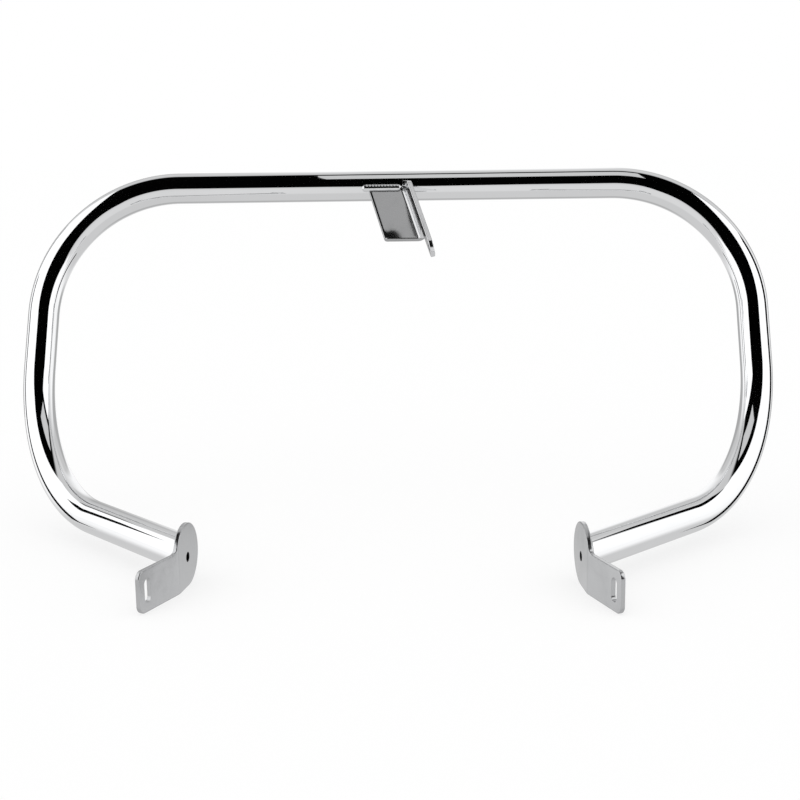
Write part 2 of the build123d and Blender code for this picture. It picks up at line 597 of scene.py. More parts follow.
@dataclass(frozen=True)
class GuardLayout:
    """Places and directions that the pieces share, given for the rider's right."""

    tube_radius: float = 0.015875
    top_middle: Vector = Vector((0.0, 0.19521, 0.32678))  # middle of the top run's centre line
    top_half_span: float = 0.3645  # middle to the corner of the top run and a side run
    side_run: float = 0.3242  # upper corner to lower corner
    leg_run: float = 0.2892  # lower corner to the inner face of the pad
    loop_rake: float = 22.6  # lean of the loop, with its top forwards
    side_flare: float = 0.8  # spread of each side run on its way down
    leg_sweep: float = 45.7  # turn of each leg rearwards
    pad_toe: float = 7.5  # turn of the pads towards each other at the front
    plate_thickness: float = 0.004

    @property
    def side_direction(self) -> Vector:
        """Down along the side run."""
        rake, flare = radians(self.loop_rake), radians(self.side_flare)
        return Vector((sin(flare), -cos(flare) * sin(rake), -cos(flare) * cos(rake)))

    @property
    def leg_direction(self) -> Vector:
        """Along the leg, inwards and rearwards."""
        return level(180.0 - self.leg_sweep)

    @property
    def upper_corner(self) -> Vector:
        """Where the top run and the side run would meet."""
        return self.top_middle + ACROSS * self.top_half_span

    @property
    def lower_corner(self) -> Vector:
        """Where the side run and the leg would meet."""
        return self.upper_corner + self.side_direction * self.side_run

    @property
    def pad_centre(self) -> Vector:
        """Where the leg's axis meets the inner face of the pad."""
        return self.lower_corner + self.leg_direction * self.leg_run

    @property
    def pad_rearwards(self) -> Vector:
        """Along the pad, rearwards."""
        return level(90.0 - self.pad_toe)

    @property
    def pad_outwards(self) -> Vector:
        """Square to the pad, away from the bike."""
        return level(-self.pad_toe)

    @property
    def seat_point(self) -> Vector:
        """A point on the pad's outer face, where the tube is seated."""
        return self.pad_centre + self.pad_outwards * self.plate_thickness


@dataclass
class GuardTube:
    """The bent tube: a raked loop with two legs, each trimmed to lie flat on its pad."""

    layout: GuardLayout
    wall: float = 0.0024
    top_bend: float = 0.139  # bend radius of the upper corners
    low_bend: float = 0.171  # bend radius of the lower corners
    bend_steps: int = 48  # chords in each bend
    sides: int = 96  # faces round the tube

    def corners(self) -> list[tuple[Vector, float]]:
        """Finds the corners of the centre line.

        Returns:
            The corners from left to right, each with its bend radius.
        """
        lay = self.layout
        past_end = lay.pad_centre + lay.leg_direction * (2.0 * lay.tube_radius)
        right = [(lay.upper_corner, self.top_bend), (lay.lower_corner, self.low_bend), (past_end, 0.0)]
        left = [(Side.LEFT.turn(point), bend) for point, bend in reversed(right)]
        return left + right

    def tree(self, values: dict[str, object]) -> GeometryGraph:
        """The tree that bends, draws and trims the tube.

        Args:
            values: The tree's inputs.

        Returns:
            A tree on a line of corners that carry their bend radius.
        """
        g = GeometryGraph("bent_tube", values)
        line = g.wire("GeometryNodeMeshToCurve", {"Mesh": g["Geometry"]})
        bend = g.wire("GeometryNodeInputNamedAttribute", {"Name": "bend_radius"}, data_type="FLOAT")
        bends = {"Curve": line, "Count": g["Bend Steps"], "Radius": bend}
        line = g.wire("GeometryNodeFilletCurve", bends, mode="POLY")
        outside = self._wall(g, line, g["Tube Radius"])
        inside = self._wall(g, line, g["Tube Radius"] - g["Wall"])
        inside = g.wire("GeometryNodeFlipFaces", {"Mesh": inside})
        marked = {"Geometry": inside, "Name": "bore", "Value": True}
        inside = g.wire("GeometryNodeStoreNamedAttribute", marked, data_type="BOOLEAN", domain="FACE")
        join = g.node("GeometryNodeJoinGeometry", {"Geometry": inside})
        g.tree.links.new(outside.socket, join.inputs[0])
        trimmed = self._trim(g, Wire(g, join.outputs[0]))
        bore = g.wire("GeometryNodeInputNamedAttribute", {"Name": "bore"}, data_type="BOOLEAN")
        g.finish(trimmed, [(g["Plated"], True), (g["Bare"], bore)])
        return g

    @staticmethod
    def _wall(g: GeometryGraph, line: Wire, radius: Wire) -> Wire:
        """A round wall along the line."""
        ring = g.wire("GeometryNodeCurvePrimitiveCircle", {"Resolution": g["Sides"], "Radius": radius})
        return g.wire("GeometryNodeCurveToMesh", {"Curve": line, "Profile Curve": ring})

    @staticmethod
    def _trim(g: GeometryGraph, mesh: Wire) -> Wire:
        """Slides what lies past a pad's outer face back along the leg to that face, on both sides.

        Args:
            g: The tree.
            mesh: The walls of the tube.

        Returns:
            The trimmed walls.
        """
        x, y, z = g.parts(g.wire("GeometryNodeInputPosition"))
        seat, normal, leg = g["Seat Point"], g["Seat Normal"], g["Leg Direction"]
        right = g.wire("ShaderNodeCombineXYZ", {"X": abs(x), "Y": y, "Z": z})
        depth = g.vector("DOT_PRODUCT", g.vector("SUBTRACT", right, seat), normal)
        on_leg = g.math("LESS_THAN", z - g.parts(seat)[2], 2.0 * g["Tube Radius"])
        past = g.math("LESS_THAN", depth, 0.0) * on_leg
        slide = g.scaled(leg, -(depth / g.vector("DOT_PRODUCT", leg, normal)))
        mirror = g.wire("ShaderNodeCombineXYZ", {"X": g.math("SIGN", x), "Y": 1.0, "Z": 1.0})
        inputs = {"Geometry": mesh, "Selection": past, "Offset": g.vector("MULTIPLY", slide, mirror)}
        return g.wire("GeometryNodeSetPosition", inputs)

    def build(self, finishes: Finishes) -> Object:
        """Makes the tube.

        Args:
            finishes: The guard's materials.

        Returns:
            The piece.
        """
        lay = self.layout
        corners = self.corners()
        host = path_object("tube_path", [point for point, _ in corners], closed=False)
        bends = host.data.attributes.new("bend_radius", "FLOAT", "POINT")
        bends.data.foreach_set("value", [bend for _, bend in corners])
        values = {
            "Tube Radius": lay.tube_radius,
            "Wall": self.wall,
            "Bend Steps": self.bend_steps,
            "Sides": self.sides,
            "Seat Point": lay.seat_point,
            "Seat Normal": lay.pad_outwards,
            "Leg Direction": lay.leg_direction,
            "Plated": finishes.tube,
            "Bare": finishes.bare,
        }
        mesh = self.tree(values).made_from(host, values)
        self._close_ends(mesh)
        return place_piece("bent_tube", mesh, "guard_tube")

    @staticmethod
    def _close_ends(mesh: Mesh) -> None:
        """Joins the inner and the outer wall with a flat ring at each end.

        Args:
            mesh: The walls, changed here.
        """
        bm = bmesh.new()
        bm.from_mesh(mesh)
        for side in Side:
            rim = [e for e in bm.edges if e.is_boundary and e.verts[0].co.x * side.value > 0.0]
            for part in [*bmesh.ops.bridge_loops(bm, edges=rim)["faces"], *rim]:
                part.smooth = False
        bmesh.ops.recalc_face_normals(bm, faces=bm.faces)
        bm.to_mesh(mesh)
        bm.free()


@dataclass(frozen=True)
class Fold:
    """One bend of a sheet, towards the side that its thickness lies on."""

    start: float  # where the bend begins, along the flat sheet
    radius: float  # bend radius of the face at thickness 0
    angle: float  # how far the sheet turns

    @property
    def length(self) -> float:
        """Length of the bend along the face at thickness 0."""
        return self.radius * radians(self.angle)

    @property
    def end(self) -> float:
        """Where the bend ends, along the flat sheet."""
        return self.start + self.length

    def bent(self, along: float, rise: float) -> Point:
        """Takes a point of the flat sheet through the bend.

        Args:
            along: Its place along the flat sheet.
            rise: Its place in the thickness.

        Returns:
            Its place along the unbent end's line and its distance from it.
        """
        inner = self.radius - rise
        turn = min(max((along - self.start) / self.radius, 0.0), radians(self.angle))
        before = min(along, self.start)
        after = max(along - self.start - self.length, 0.0)
        forwards = before + inner * sin(turn) + after * cos(turn)
        return forwards, self.radius - inner * cos(turn) + after * sin(turn)


@dataclass
class SheetBlank:
    """A flat blank with rounded edges that is bent once."""

    outline: Loop  # its outline, anticlockwise
    holes: list[Loop]  # its holes, each clockwise
    thickness: float
    edge: float  # radius of its outer edges
    fold: Fold  # its bend
    hole_edge: float = 0.00015  # radius of its holes' edges
    edge_steps: int = 3  # chords in each rounded edge
    fold_steps: int = 12  # chords in the bend

    @staticmethod
    def _inset(loop: Loop, amount: float) -> Loop:
        """Moves a loop to its left.

        Args:
            loop: The loop.
            amount: How far it moves.

        Returns:
            The moved loop.
        """
        moved = []
        for before, here, after in zip(loop[-1:] + loop[:-1], loop, loop[1:] + loop[:1]):
            first = Vector((here[0] - before[0], here[1] - before[1])).normalized()
            second = Vector((after[0] - here[0], after[1] - here[1])).normalized()
            normal = Vector((-first.y - second.y, first.x + second.x)) / (1.0 + first.dot(second))
            moved.append((here[0] + normal.x * amount, here[1] + normal.y * amount))
        return moved

    def _levels(self, edge: float) -> list[Point]:
        """The rings of a rounded edge, from one face to the other.

        Args:
            edge: Radius of the edge.

        Returns:
            Inset and height of each ring.
        """
        turns = [0.5 * pi * i / self.edge_steps for i in range(self.edge_steps + 1)]
        low = [(edge * (1.0 - sin(a)), edge * (1.0 - cos(a))) for a in turns]
        return low + [(inset, self.thickness - height) for inset, height in reversed(low)]

    def flat(self) -> BMesh:
        """Makes the flat blank, with cuts where it will bend.

        Returns:
            Its mesh, with X and Y along the sheet and Z in its thickness.
        """
        bm = bmesh.new()
        low_face, high_face, flat_loops = [], [], []
        for loop, edge in [(self.outline, self.edge), *((hole, self.hole_edge) for hole in self.holes)]:
            rings = []
            for inset, height in self._levels(edge):
                rings.append([bm.verts.new((x, y, height)) for x, y in self._inset(loop, inset)])
            for below, above in zip(rings, rings[1:]):
                for i in range(len(loop)):
                    bm.faces.new((below[i - 1], below[i], above[i], above[i - 1]))
            low_face += rings[0]
            high_face += rings[-1]
            flat_loops.append([vert.co.copy() for vert in rings[0]])
        for a, b, c in tessellate_polygon(flat_loops):
            bm.faces.new((low_face[a], low_face[b], low_face[c]))
            bm.faces.new((high_face[c], high_face[b], high_face[a]))
        for i in range(self.fold_steps + 1):
            place = self.fold.start + self.fold.length * i / self.fold_steps
            geom = [*bm.verts, *bm.edges, *bm.faces]
            bmesh.ops.bisect_plane(bm, geom=geom, dist=1e-7, plane_co=(place, 0, 0), plane_no=(1, 0, 0))
        return bm

    def folded(self, place: Callable[[float, float, float], Vector]) -> BMesh:
        """Bends the blank and puts it in place.

        Args:
            place: Gives a point's place from its distance along the unbent end, across it and square to it.

        Returns:
            The bent mesh with its faces outwards.
        """
        bm = self.flat()
        for vert in bm.verts:
            along, rise = self.fold.bent(vert.co.x, vert.co.z)
            vert.co = place(along, vert.co.y, rise)
        bmesh.ops.recalc_face_normals(bm, faces=bm.faces)
        return bm


def sheet_mesh(
    name: str, bm: BMesh, material: Material, cutter: BMesh | None = None
) -> Mesh:
    """Turns a sheet's bmesh into a mesh whose flats stay flat up to their rounded edges.

    Args:
        name: The mesh's name.
        bm: The sheet, freed here.
        material: Its finish.
        cutter: A closed body that is cut away from it, freed here.

    Returns:
        The shaded mesh.
    """
    mesh = plain_mesh(name, bm)
    mesh.materials.append(material)
    if cutter is not None:
        mesh = cut_away(mesh, cutter)
    mesh.shade_smooth()
    mesh.set_sharp_from_angle(angle=radians(SHARP_ANGLE))
    host = linked(name, mesh)
    weighted = host.modifiers.new("flat_faces", "WEIGHTED_NORMAL")
    weighted.weight = 100
    weighted.keep_sharp = True
    return converted(host)


def cut_away(mesh: Mesh, cutter: BMesh) -> Mesh:
    """Cuts a closed body away from a mesh.

    Args:
        mesh: The closed mesh, removed here.
        cutter: The body, freed here.

    Returns:
        What is left.
    """
    block = linked("cutter", plain_mesh("cutter", cutter))
    host = linked("cut", mesh)
    cut = host.modifiers.new("cut", "BOOLEAN")
    cut.operation = "DIFFERENCE"
    cut.solver = "EXACT"
    cut.object = block
    left = converted(host)
    discard(block)
    return left


@dataclass
class LowerPlate:
    """A lower plate: a round pad that caps the tube, with a slotted tail bent outwards."""

    layout: GuardLayout
    side: Side
    pad_radius: float = 0.0275
    tail_bend: Fold = Fold(start=0.021, radius=0.016, angle=15.0)  # bend between pad and tail
    tail_length: float = 0.054  # end of the bend to the end of the tail
    tail_rise: float = 0.0085  # top edge of the tail above the tube's axis
    corner: float = 0.007  # radius of the tail's corners
    notch: float = 0.006  # radius where the tail's top edge runs into the pad
    slot_width: float = 0.0085
    slot_length: float = 0.02
    slot_from_end: float = 0.0115  # slot's middle to the end of the tail
    vent_radius: float = 0.00425
    vent_drop: float = 0.002  # vent below the tube's axis
    edge: float = 0.0008  # radius of its edges

    def _outline(self, end: float) -> Loop:
        """The flat outline, anticlockwise, with X rearwards and Y up.

        Args:
            end: Place of the tail's end.

        Returns:
            The outline's points.
        """
        low, high, inner = -self.pad_radius, self.tail_rise, end - self.corner
        notch_y = high + self.notch
        notch_x = sqrt((self.pad_radius + self.notch) ** 2 - notch_y**2)
        notch_turn = degrees(atan2(notch_y, notch_x))
        loop = arc((inner, low + self.corner), self.corner, -90.0, 0.0, CORNER_STEPS)
        loop += arc((inner, high - self.corner), self.corner, 0.0, 90.0, CORNER_STEPS)
        loop += arc((notch_x, notch_y), self.notch, 270.0, 180.0 + notch_turn, NOTCH_STEPS)
        return loop + arc((0.0, 0.0), self.pad_radius, notch_turn, 270.0, PAD_STEPS)[1:]

    def _holes(self, end: float) -> list[Loop]:
        """The vent and the slot.

        Args:
            end: Place of the tail's end.

        Returns:
            Their outlines, each clockwise.
        """
        vent = arc((0.0, -self.vent_drop), self.vent_radius, 360.0, 0.0, HOLE_STEPS)[1:]
        x, y = end - self.slot_from_end, 0.5 * (self.tail_rise - self.pad_radius)
        half, radius = 0.5 * (self.slot_length - self.slot_width), 0.5 * self.slot_width
        slot = arc((x, y + half), radius, 180.0, 0.0, SLOT_END_STEPS)
        return [vent, slot + arc((x, y - half), radius, 360.0, 180.0, SLOT_END_STEPS)]

    def _place(self, along: float, up: float, outwards: float) -> Vector:
        """A point of the plate on its side of the guard.

        Args:
            along: Its place along the pad, rearwards.
            up: Its height above the tube's axis.
            outwards: Its distance from the pad's inner face.

        Returns:
            The point.
        """
        lay = self.layout
        point = lay.pad_centre + lay.pad_rearwards * along + lay.pad_outwards * outwards
        return self.side.turn(point + UP * up)

    def build(self, finishes: Finishes) -> Object:
        """Makes the plate.

        Args:
            finishes: The guard's materials.

        Returns:
            The piece.
        """
        end = self.tail_bend.end + self.tail_length
        thickness = self.layout.plate_thickness
        blank = SheetBlank(self._outline(end), self._holes(end), thickness, self.edge, self.tail_bend)
        name = f"plate_{self.side.word}"
        mesh = sheet_mesh(name, blank.folded(self._place), finishes.plate)
        return place_piece(name, mesh, f"lower_plate_{self.side.word}")


@dataclass
class UpperBracket:
    """The upper bracket: a slanted strip under the top run, folded rearwards into a tab with an ear."""

    layout: GuardLayout
    thickness: float = 0.0045
    rake: float = 42.0  # lean of the strip, with its lower end rearwards
    slant: float = 15.7  # turn of the strip to the rider's right
    left: float = 0.0293  # left edge from the middle, square to the slant
    width: float = 0.0401  # width over the fold
    stand_off: float = 0.0106  # rear face of the strip from the tube's axis
    drop: float = 0.0792  # lower edge of the strip from the tube's axis, along the rake
    corner: float = 0.003  # radius of the strip's lower corner
    fold_radius: float = 0.008  # radius of the fold's outer face
    tab_depth: float = 0.0365  # depth of the tab over the fold
    tab_top: float = 0.0063  # level top edge of the tab above the tube's axis
    tab_reach: float = 0.1233  # end of the tab from the tube's axis, along the slant
    tab_corner: float = 0.006  # radius of the tab's upper corner
    ear_width: float = 0.0146  # width of the ear that hangs from the rear of the tab
    ear_radius: float = 0.012  # radius of the ear's rear corner
    ear_front: float = 0.002  # radius of the ear's front corner
    hole_radius: float = 0.0033
    edge: float = 0.0008  # radius of its edges
    fold_steps: int = 16  # chords in the fold

    @property
    def rearwards(self) -> Vector:
        """Square to the strip, rearwards."""
        return Vector((0.0, -cos(radians(self.rake)), sin(radians(self.rake))))

    @property
    def upwards(self) -> Vector:
        """Up along the rake."""
        return Vector((0.0, sin(radians(self.rake)), cos(radians(self.rake))))

    @property
    def across(self) -> Vector:
        """Along the strip, square to its slant."""
        return ACROSS * cos(radians(self.slant)) + self.upwards * sin(radians(self.slant))

    @property
    def down(self) -> Vector:
        """Down along the slant."""
        return ACROSS * sin(radians(self.slant)) - self.upwards * cos(radians(self.slant))

    @property
    def front(self) -> float:
        """Front face of the strip from the tube's axis."""
        return self.stand_off - self.thickness

    @property
    def tab_outer(self) -> float:
        """Outer face of the tab from the middle, square to the slant."""
        return self.width - self.left

    @property
    def tab_middle(self) -> float:
        """Middle of the tab's thickness from the middle, square to the slant."""
        return self.tab_outer - 0.5 * self.thickness

    @property
    def fold(self) -> Fold:
        """The fold between strip and tab."""
        return Fold(self.tab_outer - self.fold_radius, self.fold_radius, 90.0)

    @property
    def free_edge(self) -> float:
        """The tab's free edge along the flat blank."""
        return self.fold.end + self.tab_depth - self.fold_radius

    @property
    def rear_face(self) -> tuple[Vector, float]:
        """The strip's rear face, as its direction and its distance that way."""
        return self.rearwards, self.rearwards.dot(self.layout.top_middle) + self.stand_off

    @property
    def rolled_edges(self) -> tuple[tuple[Vector, float], ...]:
        """The strip's left and lower edges: their directions out of it, and their distances."""
        sides = ((-self.across, self.left), (-self.upwards, self.drop))
        return tuple((out, out.dot(self.layout.top_middle) + gap) for out, gap in sides)

    @property
    def low_corner(self) -> Vector:
        """The strip's lower left corner, on its rear face."""
        offset = self.down * self._at_drop(-self.left, self.drop) - self.across * self.left
        return self.layout.top_middle + offset + self.rearwards * self.stand_off

    @property
    def seam_drop(self) -> float:
        """Where the strip's rear face meets the tube, below the tube's axis along the rake."""
        return sqrt(self.layout.tube_radius**2 - self.stand_off**2)

    @property
    def seam(self) -> Vector:
        """Where the strip's rear face meets the tube, under the middle of the top run."""
        return self.layout.top_middle + self.rearwards * self.stand_off - self.upwards * self.seam_drop

    @property
    def seam_left(self) -> float:
        """Where the strip's left edge meets the seam, along X."""
        return self.down.x * self._at_drop(-self.left, self.seam_drop) - self.across.x * self.left

    def _at_drop(self, across: float, drop: float) -> float:
        """Distance down the slant of a line that lies square to the rake, at a place across the strip."""
        return (drop + across * sin(radians(self.slant))) / cos(radians(self.slant))

    def _at_top(self, across: float, rearwards: float) -> float:
        """Distance down the slant of the level cut above, at a place across and behind the strip's front."""
        rise = (self.front + rearwards) * sin(radians(self.rake)) - self.tab_top
        return self._at_drop(across, rise / cos(radians(self.rake)))

    def _fold_row(self, steps: int = 10) -> list[Triple]:
        """Places through the fold, in the middle of its thickness.

        Args:
            steps: Chords in the row.

        Returns:
            The places: along the blank, across and rearwards.
        """
        start, radius = self.fold.start, self.fold.radius
        middle = radius - 0.5 * self.thickness
        turns = [0.5 * pi * i / steps for i in range(steps + 1)]
        return [(start + radius * t, start + middle * sin(t), radius - middle * cos(t)) for t in turns]

    def _upper_line(self) -> Loop:
        """The level cut above, from the strip's left edge to the tab's free edge.

        Returns:
            The points of this part of the outline.
        """
        loop = [(-self.left, self._at_top(-self.left, 0.5 * self.thickness))]
        loop += [(x, self._at_top(across, rear)) for x, across, rear in self._fold_row()]
        slope = atan2(tan(radians(self.rake)), cos(radians(self.slant)))
        peak = self._at_top(self.tab_middle, self.tab_depth)
        lowered = peak + self.tab_corner * (1.0 - sin(slope)) / cos(slope)
        centre = (self.free_edge - self.tab_corner, lowered)
        return loop + arc(centre, self.tab_corner, degrees(slope) - 90.0, 0.0, CORNER_STEPS)

    def _lower_line(self) -> Loop:
        """The ear and the lower edge of tab and strip, from the free edge to the left edge.

        Returns:
            The points of this part of the outline.
        """
        end, ear_start = self.tab_reach, self.free_edge - self.ear_width
        tab_low = self._at_drop(self.tab_middle, self.drop)
        turn = radians(self.slant)
        lift = self.corner * (1.0 - sin(turn)) / cos(turn)
        rear = (self.free_edge - self.ear_radius, end - self.ear_radius)
        front = (ear_start + self.ear_front, end - self.ear_front)
        left = (self.corner - self.left, self._at_drop(-self.left, self.drop) - lift)
        loop = arc(rear, self.ear_radius, 0.0, 90.0, EAR_STEPS)
        loop += arc(front, self.ear_front, 90.0, 180.0, SMALL_CORNER_STEPS)
        inside = (ear_start - self.corner, tab_low + self.corner)
        loop += arc(inside, self.corner, 0.0, -90.0, SMALL_CORNER_STEPS)
        loop += [(x, self._at_drop(across, self.drop)) for x, across, _ in reversed(self._fold_row())]
        return loop + arc(left, self.corner, 90.0 + self.slant, 180.0, SMALL_CORNER_STEPS)

    def _blank(self) -> SheetBlank:
        """The flat blank, with X across the strip and then up the tab, and Y down the slant.

        Returns:
            The blank.
        """
        ear = (self.free_edge - 0.5 * self.ear_width, self.tab_reach - 0.5 * self.ear_width)
        outline = self._upper_line() + self._lower_line()
        hole = arc(ear, self.hole_radius, 360.0, 0.0, HOLE_STEPS)[1:]
        return SheetBlank(outline, [hole], self.thickness, self.edge, self.fold, fold_steps=self.fold_steps)

    def _place(self, across: float, down: float, rearwards: float) -> Vector:
        """A point of the bracket on the guard, with its edges above and below cut level.

        Args:
            across: Its place square to the slant.
            down: Its place down the slant.
            rearwards: Its place behind the strip's front face.

        Returns:
            The point.
        """
        past_fold = across - self.fold.start
        if past_fold > 0.0 and down < self._at_drop(self.tab_outer, self.drop) + self.corner:
            turn = atan2(past_fold, max(self.fold_radius - rearwards, 0.0))
            middle = (self.fold_radius - 0.5 * self.thickness) * sin(turn)
            down += (past_fold - middle) * tan(radians(self.slant))
        offset = self.across * across + self.down * down + self.rearwards * (self.front + rearwards)
        return self.layout.top_middle + offset

    def _tube_run(self, length: float = 0.16, sides: int = 192) -> BMesh:
        """The solid length of the top run that the bracket is coped round.

        Args:
            length: Its length.
            sides: Faces round it.

        Returns:
            Its mesh.
        """
        turned = Matrix.Translation(self.layout.top_middle) @ Matrix.Rotation(0.5 * pi, 4, "Y")
        radius = self.layout.tube_radius
        bm = bmesh.new()
        size = {"segments": sides, "radius1": radius, "radius2": radius, "depth": length}
        bmesh.ops.create_cone(bm, cap_ends=True, matrix=turned, **size)
        return bm

    def build(self, finishes: Finishes) -> Object:
        """Makes the bracket and copes its upper edge round the tube.

        Args:
            finishes: The guard's materials.

        Returns:
            The piece.
        """
        bm = self._blank().folded(self._place)
        mesh = sheet_mesh("bracket_upper", bm, finishes.bracket, self._tube_run())
        return place_piece("bracket_upper", mesh, "upper_bracket")


@dataclass
class WeldBead:
    """A rippled bead along a seam between the tube and a flat face."""

    STEP = 0.1  # length of a step along the bead, as a share of its radius
    TIP = 0.02  # run of the flat tip of a domed end, as a share of the radius
    SIDES = 24  # faces round the bead

    name: str
    node: str  # the solid that it stands for
    path: list[Vector]  # points of the seam
    closed: bool  # whether the seam runs round the tube
    radius: float  # radius of the bead
    axis_point: Vector  # a point on the tube's axis
    axis: Vector  # direction of the tube
    tube_radius: float
    face_point: Vector  # a point on the flat face
    face_normal: Vector  # direction away from the flat face
    ripples: int  # ripples along the bead
    face_from: float = -1.0  # lowest X of the flat face, by default past all of the guard
    ripple_depth: float = 0.035  # share of the radius that a ripple's valley loses

    def values(self, finishes: Finishes) -> dict[str, object]:
        """The inputs of the beads' tree.

        Args:
            finishes: The guard's materials.

        Returns:
            The values by name.
        """
        return {
            "Bead Radius": self.radius,
            "Ripples": float(self.ripples),
            "Ripple Depth": self.ripple_depth,
            "Round Ends": 0.0 if self.closed else 1.0,
            "Axis Point": self.axis_point,
            "Axis": self.axis,
            "Tube Radius": self.tube_radius,
            "Face Point": self.face_point,
            "Face Normal": self.face_normal,
            "Face From": self.face_from,
            "Plated": finishes.weld,
        }

    @classmethod
    def tree(cls, values: dict[str, object]) -> GeometryGraph:
        """The tree that draws a bead along a seam and fits it to the tube and the flat face.

        Args:
            values: The tree's inputs, for one of the beads.

        Returns:
            A tree on a line of points along the seam.
        """
        g = GeometryGraph("weld_bead", values)
        radius, normal, axis = g["Bead Radius"], g["Face Normal"], g["Axis"]
        line = g.wire("GeometryNodeMeshToCurve", {"Mesh": g["Geometry"]})
        steps = {"Curve": line, "Length": radius * cls.STEP}
        line = g.wire("GeometryNodeResampleCurve", steps, mode="LENGTH")
        ring = g.wire("GeometryNodeCurvePrimitiveCircle", {"Resolution": cls.SIDES, "Radius": radius})
        inputs = {"Curve": line, "Profile Curve": ring, "Scale": cls._swell(g), "Fill Caps": True}
        mesh = g.wire("GeometryNodeCurveToMesh", inputs)
        here = g.wire("GeometryNodeInputPosition")
        height = g.vector("DOT_PRODUCT", g.vector("SUBTRACT", here, g["Face Point"]), normal)
        below = g.math("LESS_THAN", height, 0.0) * g.math("GREATER_THAN", g.parts(here)[0], g["Face From"])
        inputs = {"Geometry": mesh, "Selection": below, "Offset": g.scaled(normal, -height)}
        mesh = g.wire("GeometryNodeSetPosition", inputs)
        from_axis = g.vector("SUBTRACT", here, g["Axis Point"])
        spoke = g.vector("SUBTRACT", from_axis, g.scaled(axis, g.vector("DOT_PRODUCT", from_axis, axis)))
        reach = g.vector("LENGTH", spoke)
        inside = g.math("LESS_THAN", reach, g["Tube Radius"])
        push = g.scaled(g.vector("NORMALIZE", spoke), g["Tube Radius"] - reach)
        inputs = {"Geometry": mesh, "Selection": inside, "Offset": push}
        g.finish(g.wire("GeometryNodeSetPosition", inputs), [(g["Plated"], True)])
        return g

    @classmethod
    def _swell(cls, g: GeometryGraph) -> Wire:
        """Thickness of the bead along its seam, with ripples and domed ends.

        Args:
            g: The tree.

        Returns:
            The share of the bead's radius.
        """
        spline = g.node("GeometryNodeSplineParameter")
        factor, run = Wire(g, spline.outputs["Factor"]), Wire(g, spline.outputs["Length"])
        valley = 0.5 + 0.5 * g.math("COSINE", factor * g["Ripples"] * (2.0 * pi))
        total = g.wire("GeometryNodeSplineLength")
        near_end = g.math("MINIMUM", run, total - run) / g["Bead Radius"]
        short = 1.0 - g.math("MINIMUM", g.math("MAXIMUM", near_end, cls.TIP), 1.0)
        dome = g.math("SQRT", 1.0 - short * short)
        return (1.0 - g["Ripple Depth"] * valley) * (1.0 - g["Round Ends"] * (1.0 - dome))

    def build(self, tree: GeometryGraph, finishes: Finishes) -> Object:
        """Makes the bead.

        Args:
            tree: The tree of the beads.
            finishes: The guard's materials.

        Returns:
            The piece.
        """
        host = path_object(f"{self.name}_path", self.path, self.closed)
        mesh = tree.made_from(host, self.values(finishes))
        bm = bmesh.new()
        bm.from_mesh(mesh)
        bmesh.ops.remove_doubles(bm, verts=bm.verts, dist=1e-6)
        bmesh.ops.recalc_face_normals(bm, faces=bm.faces)
        bm.to_mesh(mesh)
        bm.free()
        return place_piece(self.name, mesh, self.node)


@dataclass
class Welds:
    """The three beads that hold the guard together."""

    layout: GuardLayout
    bracket: UpperBracket  # the upper bracket, which its bead follows
    low_radius: float = 0.0035  # bead radius at the pads
    low_ripples: int = 36  # ripples of the bead at each pad
    top_radius: float = 0.004  # bead radius at the bracket
    top_ripples: int = 13  # ripples of the bead at the bracket
    top_left: float = -0.0295  # left end of the upper bead
    top_right: float = 0.004  # right end of the upper bead

    def _low_seam(self, side: Side, points: int = 120) -> list[Vector]:
        """The line where a leg meets its pad's outer face.

        Args:
            side: The leg's side.
            points: How many points the line has.

        Returns:
            The points in order.
        """
        lay = self.layout
        axis, normal = lay.leg_direction, lay.pad_outwards
        level_out = axis.cross(UP)
        seam = []
        for i in range(points):
            turn = 2.0 * pi * i / points
            point = lay.pad_centre + (level_out * cos(turn) + UP * sin(turn)) * lay.tube_radius
            point -= axis * ((point - lay.seat_point).dot(normal) / axis.dot(normal))
            seam.append(side.turn(point))
        return seam

    def _low_bead(self, side: Side) -> WeldBead:
        """The bead round one leg.

        Args:
            side: The leg's side.

        Returns:
            The bead.
        """
        lay = self.layout
        return WeldBead(
            name=f"bead_{side.word}",
            node=f"lower_weld_{side.word}",
            path=self._low_seam(side),
            closed=True,
            radius=self.low_radius,
            axis_point=side.turn(lay.pad_centre),
            axis=side.turn(lay.leg_direction),
            tube_radius=lay.tube_radius,
            face_point=side.turn(lay.seat_point),
            face_normal=side.turn(lay.pad_outwards),
            ripples=self.low_ripples,
        )

    def _top_bead(self) -> WeldBead:
        """The bead along the upper bracket, run round its left corner.

        Returns:
            The bead.
        """
        ends = (self.top_left - self.top_radius, self.top_right + self.top_radius)
        return WeldBead(
            name="bead_upper",
            node="upper_weld",
            path=[self.bracket.seam + ACROSS * x for x in ends],
            closed=False,
            radius=self.top_radius,
            axis_point=self.layout.top_middle,
            axis=ACROSS,
            tube_radius=self.layout.tube_radius,
            face_point=self.bracket.seam,
            face_normal=self.bracket.rearwards,
            ripples=self.top_ripples,
            face_from=self.bracket.seam_left,
        )

    def build(self, finishes: Finishes) -> list[Object]:
        """Makes the beads.

        Args:
            finishes: The guard's materials.

        Returns:
            The pieces.
        """
        beads = [self._top_bead(), *(self._low_bead(side) for side in Side)]
        tree = WeldBead.tree(beads[0].values(finishes))
        return [bead.build(tree, finishes) for bead in beads]


